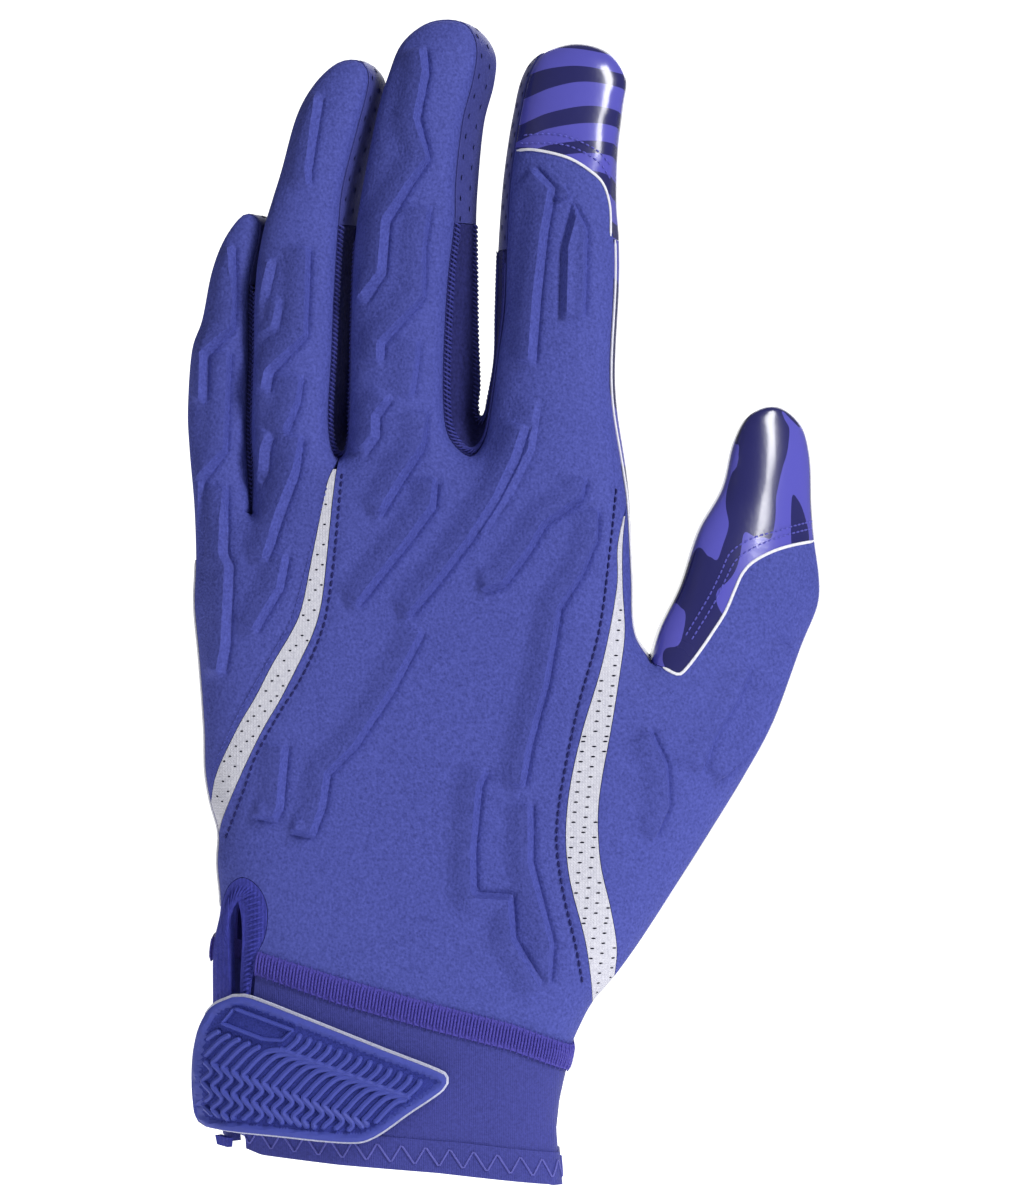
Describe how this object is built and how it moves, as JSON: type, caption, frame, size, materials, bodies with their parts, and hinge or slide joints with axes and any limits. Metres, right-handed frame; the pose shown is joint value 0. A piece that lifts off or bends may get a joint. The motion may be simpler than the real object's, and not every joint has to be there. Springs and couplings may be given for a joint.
{
  "type": "football receiver glove",
  "caption": "Left-hand American football receiver glove with padded ribbed back, mesh flex inserts, glossy grip palm and a strap-closed jersey cuff, open in its worn shape.",
  "frame": {"origin": "centre of the wrist opening at the cuff's lower edge, where the wearer's forearm enters", "axes": "+Z from the wrist towards the fingertips, +X towards the thumb, +Y from the back of the hand towards the palm"},
  "size_m": [0.1331, 0.0466, 0.2441],
  "materials": {
    "padded_knit": "matt padded knit",
    "flex_mesh": "white perforated stretch mesh",
    "grip": "glossy tacky grip film with a camouflage print",
    "side_leather": "smooth perforated synthetic leather",
    "gusset_knit": "fine dark stretch knit",
    "overlock_thread": "dense overlock thread",
    "jersey": "smooth fine-ribbed jersey",
    "ribbed_tape": "ribbed woven tape",
    "hook_backing": "fuzzy hook-and-loop backing",
    "tab_rubber": "moulded satin rubber"
  },
  "bodies": {
    "root": {"back_panel": "padded_knit", "outer_back_panel": "padded_knit", "thumb_back_panel": "padded_knit", "flex_insert_outer": "flex_mesh", "flex_insert_inner": "flex_mesh", "palm_panel": "grip", "index_tip_cap": "grip", "thumb_grip": "grip", "little_side_strip": "side_leather", "ring_side_strip": "side_leather", "middle_side_strip": "side_leather", "index_side_strip": "side_leather", "gusset_little_ring": "gusset_knit", "gusset_ring_middle": "gusset_knit", "gusset_middle_index": "gusset_knit", "overlock_band": "overlock_thread", "cuff_band": "jersey", "cuff_hem": "jersey", "vent_binding": "ribbed_tape", "strap_webbing": "ribbed_tape", "strap_backing": "hook_backing", "strap_tab": "tab_rubber", "webbing_end": "ribbed_tape"}
  },
  "joints": []
}
